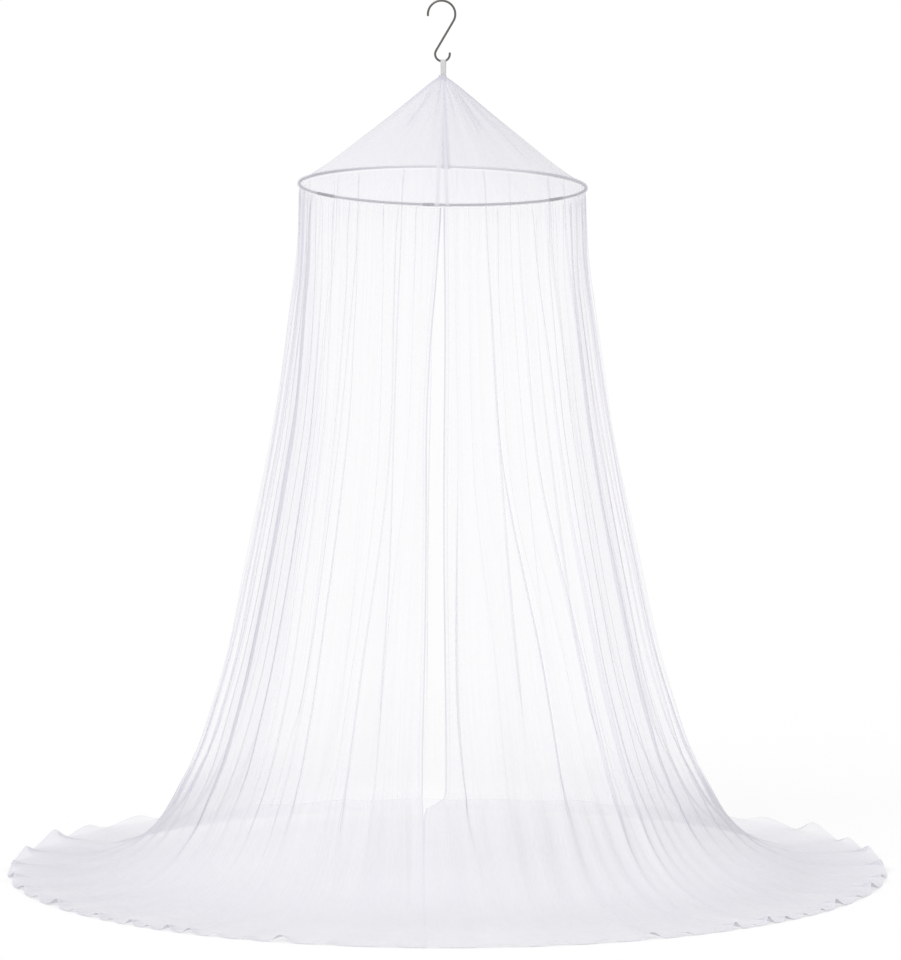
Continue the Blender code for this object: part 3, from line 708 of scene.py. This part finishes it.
def make_wall():
    sections, along, out, up = wall_profile()
    radius, height, depth, standing, left, outer, front, side, back = sections.T
    crests = crease_lines(height)
    laps = crease_laps(height)
    inner = left + 360.0
    between = (crests[:, 1:] + crests[:, :-1]) / 2
    starts = np.column_stack((outer + FLAT_EDGE, between))
    ends = np.column_stack((between, inner - FLAT_EDGE))
    level_angle, fold, spot, hem = wall_columns(radius, outer, inner, starts, crests, ends)
    angle = level_angle
    R, H, D, S = (row[:, None] for row in (radius, height, depth, standing))
    out, up, down = out[:, None], up[:, None], along[:, None]
    turn = np.radians(angle)
    below = H[0] - H
    to_hem = along[-1] - down
    sideness = np.abs(np.sin(turn))
    frontness = smooth_step(0.5 + 0.8 * np.cos(turn))
    behind_side = np.exp(-((np.abs(turned(angle)) - BEHIND_SIDE[0]) / BEHIND_SIDE[1]) ** 2)
    bumpy = smooth_step((R - BUMP_START) / BUMP_REACH) * frontness

    # The broad folds.
    share = np.array([crease.depth for crease in CREASES])[fold]
    lean = np.array([crease.lean for crease in CREASES])[fold]
    level = (np.cos(math.pi * spot / 2) ** 2)[None, :]
    flatter = S * (POOL_FOLDS + POOL_FOLDS_BEHIND * behind_side)
    flatter = flatter + (1.0 - S) * (1.0 - SIDE_FLATTENING * sideness ** 4)
    fold_height = D * share * level ** (1.0 + BUMP_SHARPNESS * bumpy)
    fold_height = fold_height * (flatter + BUMP_HEIGHT * bumpy)
    rise = fold_height - D * 0.5 * (1.0 - S)

    # Their pleats.
    part = np.clip(spot / PLEAT_SHARE, -1.0, 1.0)
    wave = np.sin(math.pi * part)[None, :]
    half_width = np.radians((ends - starts)[:, fold] / 2) * R * PLEAT_SHARE
    size = np.abs(laps[:, fold])
    folded = smooth_step(size / PLEAT_FULL)
    sideways = -(size + PLEAT_SHIFT * half_width * folded) / 2 * wave
    stand = PLEAT_STAND * size + PLEAT_THICKNESS * folded
    rise = rise + np.sign(laps[:, fold]) * wave * stand

    # The fine gathers under the casing, deeper in some places than in others.
    uneven = 0.55 + 0.45 * ripple(turn, 0.0, 0.7, GATHER_WAVES)
    gathers = np.sin(GATHERS * turn + 1.6 * np.sin(5 * turn) + 1.1 * np.sin(11 * turn))
    reach = GATHER_REACH + GATHER_REACH_MORE * uneven
    fade = smooth_step(below / GATHER_START) * np.exp(-below / reach)
    rise = rise + GATHER_HEIGHT * uneven * gathers * fade

    # The finest creases of all, from one column of points to the next.
    steps = np.radians(np.diff(angle, axis=1)) * R
    narrower = np.pad(np.minimum(steps[:, 1:], steps[:, :-1]), ((0, 0), (1, 1)))
    in_and_out = np.where(np.arange(len(spot)) % 2, 0.5, -0.5) * (hem == 0)
    crimp = CRIMP_SLOPE * (1.0 - S) * (1.0 - 0.5 * sideness ** 4)
    rise = rise + crimp * smooth_step(below / CRIMP_START) * narrower * in_and_out

    # Sway and crumples.
    free = smooth_step(below / SWAY_REACH) * (1.0 - 0.6 * S)
    rise = rise + SWAY * free * ripple(turn, down, 0.0, SWAY_WAVES)
    sideways = sideways + SWAY * free * ripple(turn, down, 1.0, MEANDER_WAVES)
    crumple = np.maximum(ripple(turn, down, 0.0, CRUMPLE_WAVES), 0.0)
    rise = rise + CRUMPLE * S * (0.2 + 0.8 * frontness) * crumple

    # The right front edge hangs a little before the left one.
    from_outer = 1.0 - smooth_step((angle - outer[:, None]) / LAP_FADE)
    from_inner = 1.0 - smooth_step((inner[:, None] - angle) / LAP_FADE)
    lap = from_outer - from_inner
    lift = EDGE_LIFT_TOP + (EDGE_LIFT - EDGE_LIFT_TOP) * smooth_step(below / EDGE_REACH)
    rise = rise + lift * (lap + S * np.abs(lap)) * (1.0 - 0.8 * S)

    angle = angle + np.degrees((sideways + fold_height * lean * (1.0 - 0.8 * S)) / R)
    ring = R + rise * out - fold_height * HEM_PULL * smooth_step(1.0 - to_hem / HEM_PULL_REACH)
    level_height = np.maximum(H + rise * up, 0.0) + FLOOR_CLEARANCE * smooth_step(1 - H / 0.05)
    spread = smooth_step((ring - HOOP_RADIUS) / (POOL_RADIUS - HOOP_RADIUS))
    points = settled(around(angle, ring, level_height))
    points[..., 0] += POOL_SHIFT * spread

    # The net turns dense from lower down at the sides than in front.
    to_side = sideness ** (4.0 - 2.5 * S * frontness)
    ramp = np.interp(down - RAMP_SHIFT * (1.0 - np.cos(turn)), along, front)
    layers = back[:, None] + (ramp - back[:, None]) * frontness
    layers = layers + (side[:, None] - layers) * to_side
    layers = layers + S * behind_side * (1.8 - 1.2 * np.sin(turn))
    calm = to_side
    knots = np.array(CREASE_HEIGHTS)[::-1]
    centres = smooth_line(knots, np.array(BROAD_FOLDS).T[::-1], height).T
    for centre, amount in zip(centres, BROAD_FOLD_LAYERS):
        away = turned(angle - centre[:, None])
        broad = (1.0 - S) * np.exp(-np.abs(away / BROAD_FOLD_WIDTH) ** 3)
        calm = np.maximum(calm, broad)
        layers = layers + amount * broad
    pressed = PRESSED_LAYERS * smooth_step(0.2 + size / 0.004)
    pressed = pressed * np.exp(-(spot / PLEAT_MIDDLE) ** 2) * (1.0 - S)
    pressed = pressed * (0.3 + 0.7 * frontness) * (1.0 - 0.6 * calm)

    # The hems are turned over and sewn.
    edge_hem = hem[None, :] * smooth_step((H - 0.09) / 0.14)
    hem_shares, hem_layers = np.array(HEM_LAYERS).T
    floor_hem = np.interp(to_hem / HEM_WIDTH, hem_shares, hem_layers, right=0.0)
    floor_hem = floor_hem * (0.1 + 0.6 * frontness)
    layers = layers + pressed + np.maximum(edge_hem, floor_hem)
    # Painted shadow under the raised hem: extra layers in the crests of its front bumps.
    layers = layers + BUMP_SHADOW_LAYERS * bumpy * share * level ** 4

    # Laid flat, the cloth has its folds spaced as they are round the hem.
    rim = level_angle[-1:]
    across = (rim - rim[0, 0]) / np.ptp(rim) * WALL_FLAT[0]
    cloth = np.stack(np.broadcast_arrays(across, down), axis=-1)
    look = net_material("net_wall", streaks=0.9, lines=0.4, fine_lines=0.25, fine_reach=0.75)
    wall = grid_object("wall_net_sheet", points, layers, cloth, look)
    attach(wall, "root")
    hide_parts("wall_net")


# ---------------------------------------------------------------- the roof

def roof_columns():
    """The angles of the roof's columns of points, with more of them beside the seams."""
    start = ROOF_SEAMS[0][0]
    end = start + 360.0
    regular = np.linspace(start, end, ROOF_COLUMNS + 1)
    beside = [edge + step for seam in ROOF_SEAMS for edge in seam for step in BESIDE_STITCHES]
    angle = np.clip(np.concatenate((regular, beside)), start, end)
    return np.unique(np.round(angle, 4))[None, :]


def make_roof():
    angle = roof_columns()
    turn = np.radians(angle)
    sections = np.array(ROOF_SECTIONS)
    share = np.linspace(0.0, 1.0, ROOF_ROWS) ** 1.25
    drop, gather = smooth_line(sections[:, 0], sections[:, 1:], share).T
    share, drop, gather = share[:, None], drop[:, None], gather[:, None]
    pinch = np.sin(PINCHES * turn + 2 * np.sin(9 * turn))

    # The cone: an oval at the peak that turns into the hoop's circle, with its gathers.
    across = np.maximum(HOOP_RADIUS * share, PEAK_HALF_WIDTH)
    depth = np.maximum(HOOP_RADIUS * share, PEAK_HALF_DEPTH)
    near_peak = np.exp(-share / 0.16)
    rise = gather * (
        0.55 * np.sin(15 * turn + 0.8 * np.sin(3 * turn))
        + 0.45 * np.sin(29 * turn + 1.2 * np.sin(4 * turn + 1.0) + 2.0 * share)
    )
    rise = rise + 0.0005 * near_peak * np.sin(47 * turn + 1.5 * np.sin(5 * turn))
    rise = rise + 0.0006 * pinch * smooth_step((share - 0.7) / 0.3)
    pulled = 0.0
    for crease in ROOF_CREASES:
        along = (share - crease.start) / (crease.end - crease.start)
        middle = crease.top + (crease.foot - crease.top) * np.clip(along, 0.0, 1.0)
        away = np.radians(turned(angle - middle)) * HOOP_RADIUS * share
        ends = smooth_step(along / 0.25) * smooth_step((1.0 - along) / 0.35)
        rise = rise + crease.height * ends * np.exp(-(away / crease.width) ** 2)
        narrow = np.exp(-(away / (0.7 * crease.width)) ** 2)
        pulled = pulled + ends * narrow * crease.height / PULLED_HEIGHT
    out = rise * math.sin(ROOF_SLOPE)
    x = (across + out) * np.sin(turn)
    y = -(depth + out) * np.cos(turn)
    z = PEAK_HEIGHT - ROOF_DROP * drop + rise * math.cos(ROOF_SLOPE)

    # The casing: the net turned round the hoop.
    round_hoop = np.linspace(0.0, 1.0, CASING_ROWS)[:, None]
    around_hoop = CASING_START + (CASING_END - CASING_START) * round_hoop
    reach = CASING_RADIUS + 0.0004 * pinch
    casing = around(
        angle, HOOP_RADIUS + reach * np.cos(around_hoop), HOOP_HEIGHT + reach * np.sin(around_hoop)
    )
    keep = int(ROOF_ROWS * CONE_SHARE)
    cone = np.stack(np.broadcast_arrays(x, y, z), axis=-1)[:keep]
    points = settled(np.concatenate((cone, casing)))

    # The net is bunched towards the peak, denser on the right and sheerer on the left as painted
    # shade and light, and its seams are lapped.
    radius = np.hypot(points[..., 0], points[..., 1])
    layers = ROOF_LAYERS + PEAK_LAYERS * np.exp(-radius / PEAK_REACH)
    layers = layers * (1.0 + RIGHT_SIDE_SHADE * np.sin(turn))
    layers[:keep] += PULLED_LAYERS * pulled[:keep]
    at_back = smooth_step((-np.cos(turn) - 0.6) / 0.3)
    layers[keep:] *= CASING_LAYERS - CASING_THINNER * at_back
    for first, second in ROOF_SEAMS:
        layers = layers + SEAM_LAYERS * ((angle > first) & (angle < second))
        for edge in (first, second):
            away = np.radians(turned(angle - edge)) * np.maximum(radius, 0.01)
            layers = layers + STITCH_LAYERS * np.exp(-(away / STITCH_WIDTH) ** 2)
    steps = np.linalg.norm(np.diff(points[:, 0], axis=0), axis=1)
    down = np.concatenate(([0.0], np.cumsum(steps)))[:, None]
    cloth = np.stack(np.broadcast_arrays(turn * HOOP_RADIUS, down), axis=-1)
    look = net_material("net_roof", streaks=0.5, lines=0.2, fine_lines=0.2, fine_reach=1.0)
    roof = grid_object("roof_net_sheet", points, layers, cloth, look)
    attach(roof, "root")
    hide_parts("roof_net")


# ---------------------------------------------------------------- hoop, hook and tape

def make_hoop():
    angles = np.linspace(0.0, 360.0, HOOP_POINTS, endpoint=False)
    path = settled(around(angles, HOOP_RADIUS, HOOP_HEIGHT))
    turn = np.radians(angles)
    side = np.stack((np.sin(turn), -np.cos(turn), np.zeros_like(turn)), axis=-1)
    turns = np.arange(HOOP_SIDES) * 2 * math.pi / HOOP_SIDES
    points = path[:, None] + HOOP_TUBE_RADIUS * (
        np.cos(turns)[None, :, None] * side[:, None]
        + np.sin(turns)[None, :, None] * np.array((0.0, 0.0, 1.0))
    )
    near = np.arange(HOOP_POINTS * HOOP_SIDES).reshape(HOOP_POINTS, HOOP_SIDES)
    far = np.roll(near, -1, axis=0)
    quads = np.stack((near, far, np.roll(far, -1, axis=1), np.roll(near, -1, axis=1)), axis=-1)
    hoop = smooth_object("hoop_ring", points, quads.reshape(-1, 4).tolist(), hoop_material())
    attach(hoop, "root")
    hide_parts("hoop")


def make_sleeves():
    look = metal_material("sleeve_steel", SLEEVE_GREY, 0.9, 0.35, 0.3)
    for name in SLEEVES:
        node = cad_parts[name]
        node.data.materials.clear()
        node.data.materials.append(look)


def hook_path():
    lower = Vector((0.0, 0.0, TAPE_TOP - WIRE_RADIUS - TAPE_CLEARANCE + LOWER_CROOK_RADIUS))
    upper = lower + Vector((CROOK_SHIFT, 0.0, CROOK_RISE))
    spacing = math.hypot(CROOK_SHIFT, CROOK_RISE)
    uphill = math.atan2(CROOK_RISE, CROOK_SHIFT)
    touch = math.acos((UPPER_CROOK_RADIUS + LOWER_CROOK_RADIUS) / spacing)

    def arc(centre, radius, start, end, count):
        turns = np.linspace(start, end, count)
        x, z = centre.x + radius * np.cos(turns), centre.z + radius * np.sin(turns)
        return np.stack((x, 0 * turns, z), axis=-1)

    over_end, under_end = uphill - math.pi + touch, 2 * math.pi + LOWER_TIP_ANGLE
    over = arc(upper, UPPER_CROOK_RADIUS, UPPER_TIP_ANGLE, over_end, UPPER_CROOK_POINTS)
    under = arc(lower, LOWER_CROOK_RADIUS, uphill + touch, under_end, LOWER_CROOK_POINTS)
    share = np.linspace(0.0, 1.0, STRAIGHT_POINTS)[1:-1, None]
    straight = over[-1] * (1 - share) + under[0] * share
    path = np.concatenate((over, straight, under))
    tip = np.linspace(0.0, 1.0, TIP_POINTS)[:, None]
    first = path[0] + (path[1] - path[0]) * tip
    last = path[-2] + (path[-1] - path[-2]) * tip
    return np.concatenate((first, path[2:-2], last))


def make_hook():
    path = hook_path()
    look = metal_material("hook_steel", HOOK_STEEL, 1.0, 0.30, 0.5)
    hook = wire("s_hook_wire", path, rounded_ends(path, WIRE_RADIUS), WIRE_SIDES, look)
    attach(hook, "root")
    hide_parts("s_hook")


def make_tape():
    turn_radius = WIRE_RADIUS + TAPE_CLEARANCE + TAPE_THICKNESS / 2
    centre = TAPE_TOP - WIRE_RADIUS - TAPE_CLEARANCE
    leg = np.linspace(TAPE_END, centre, TAPE_LEG_ROWS)
    share = smooth_step((leg - PEAK_HEIGHT) / (centre - PEAK_HEIGHT))
    leg_y = -(TAPE_LEG_SPACING / 2 + (turn_radius - TAPE_LEG_SPACING / 2) * share)
    turns = np.linspace(0.0, math.pi, TAPE_TURN_ROWS)[1:-1]
    y = np.concatenate((leg_y, -turn_radius * np.cos(turns), -leg_y[::-1]))
    z = np.concatenate((leg, centre + turn_radius * np.sin(turns), leg[::-1]))
    x = TAPE_PLACE + TAPE_LEG_SHIFT * np.clip(y / turn_radius, -1.0, 1.0)
    across = TAPE_WIDTH * np.linspace(-0.5, 0.5, TAPE_COLUMNS)
    # The tape cups over the hook's bend, and lies flat where the net grips it.
    cup = LOWER_CROOK_RADIUS - np.sqrt(LOWER_CROOK_RADIUS ** 2 - across ** 2)
    lifted = smooth_step((z - PEAK_HEIGHT) / (centre - PEAK_HEIGHT))[:, None]
    grid = np.broadcast_arrays(x[:, None] + across, y[:, None], z[:, None] + cup * lifted)
    points = np.stack(grid, axis=-1)
    length = np.concatenate(([0.0], np.cumsum(np.hypot(np.diff(y), np.diff(z)))))
    cloth = np.stack(np.broadcast_arrays(across[None, :], length[:, None]), axis=-1)
    # Its edges are darker as painted shade, and it is stitched where it enters the net, with that
    # band darker partly as painted shade.
    edge = 0.8 * (np.abs(across) > TAPE_WIDTH * TAPE_SHADED_EDGE_SHARE)[None, :]
    stitch_and_shade = 0.9 * ((z < PEAK_HEIGHT + 0.004) & (z > PEAK_HEIGHT + 0.001))[:, None]
    layers = np.maximum(edge, stitch_and_shade)
    tape = grid_object("tape_loop_band", points, layers, cloth, tape_material())
    thick = tape.modifiers.new("thickness", "SOLIDIFY")
    thick.thickness = TAPE_THICKNESS
    thick.offset = 0.0
    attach(tape, "root")
    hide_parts("tape_loop")


# ---------------------------------------------------------------- stage, light and camera

def make_floor():
    corners = ((-1, -1), (1, -1), (1, 1), (-1, 1))
    mesh = bpy.data.meshes.new("floor")
    places = [(x * FLOOR_REACH, y * FLOOR_REACH, 0.0) for x, y in corners]
    mesh.from_pydata(places, [], [(0, 1, 2, 3)])
    floor = add_object("floor", mesh)
    material = bpy.data.materials.new("studio_floor")
    n = Nodes(material)
    n.shader.inputs["Base Color"].default_value = (*FLOOR_GREY, 1.0)
    n.shader.inputs["Roughness"].default_value = 0.9
    n.shader.inputs["Specular IOR Level"].default_value = 0.0
    n.shader.inputs["Emission Color"].default_value = (*WHITE, 1.0)
    seen = n.add("ShaderNodeLightPath").outputs["Is Camera Ray"]
    n.link(n.math("MULTIPLY", seen, FLOOR_SEEN), n.shader.inputs["Emission Strength"])
    mesh.materials.append(material)


def make_light():
    world = bpy.context.scene.world or bpy.data.worlds.new("studio")
    bpy.context.scene.world = world
    world.use_nodes = True
    tree = world.node_tree
    background = tree.nodes["Background"]
    background.inputs["Color"].default_value = (*WHITE, 1.0)
    path = tree.nodes.new("ShaderNodeLightPath")
    brighter = tree.nodes.new("ShaderNodeMath")
    brighter.operation = "MULTIPLY_ADD"
    tree.links.new(path.outputs["Is Camera Ray"], brighter.inputs[0])
    brighter.inputs[1].default_value = WORLD_SEEN
    brighter.inputs[2].default_value = WORLD_STRENGTH
    tree.links.new(brighter.outputs[0], background.inputs["Strength"])
    sun = bpy.data.lights.new("key", "SUN")
    sun.energy = SUN_STRENGTH
    sun.angle = SUN_SPREAD
    add_object("key", sun).rotation_euler = SUN_DIRECTION.to_track_quat("-Z", "Y").to_euler()


def make_camera():
    camera = bpy.data.cameras.new("camera")
    camera.lens = CAMERA_LENS
    camera.sensor_width = SENSOR_WIDTH
    camera.sensor_fit = "AUTO"
    camera.clip_start, camera.clip_end = CLIP_RANGE
    obj = add_object("camera", camera)
    obj.location = CAMERA_PLACE
    obj.rotation_euler = (CAMERA_AIM - CAMERA_PLACE).to_track_quat("-Z", "Y").to_euler()
    bpy.context.scene.camera = obj


def main():
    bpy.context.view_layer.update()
    bpy.context.scene.view_settings.view_transform = "Standard"
    bpy.context.scene.cycles.transparent_max_bounces = CLEAR_BOUNCES
    make_hoop()
    make_sleeves()
    make_roof()
    make_wall()
    make_hook()
    make_tape()
    make_floor()
    make_light()
    make_camera()


main()
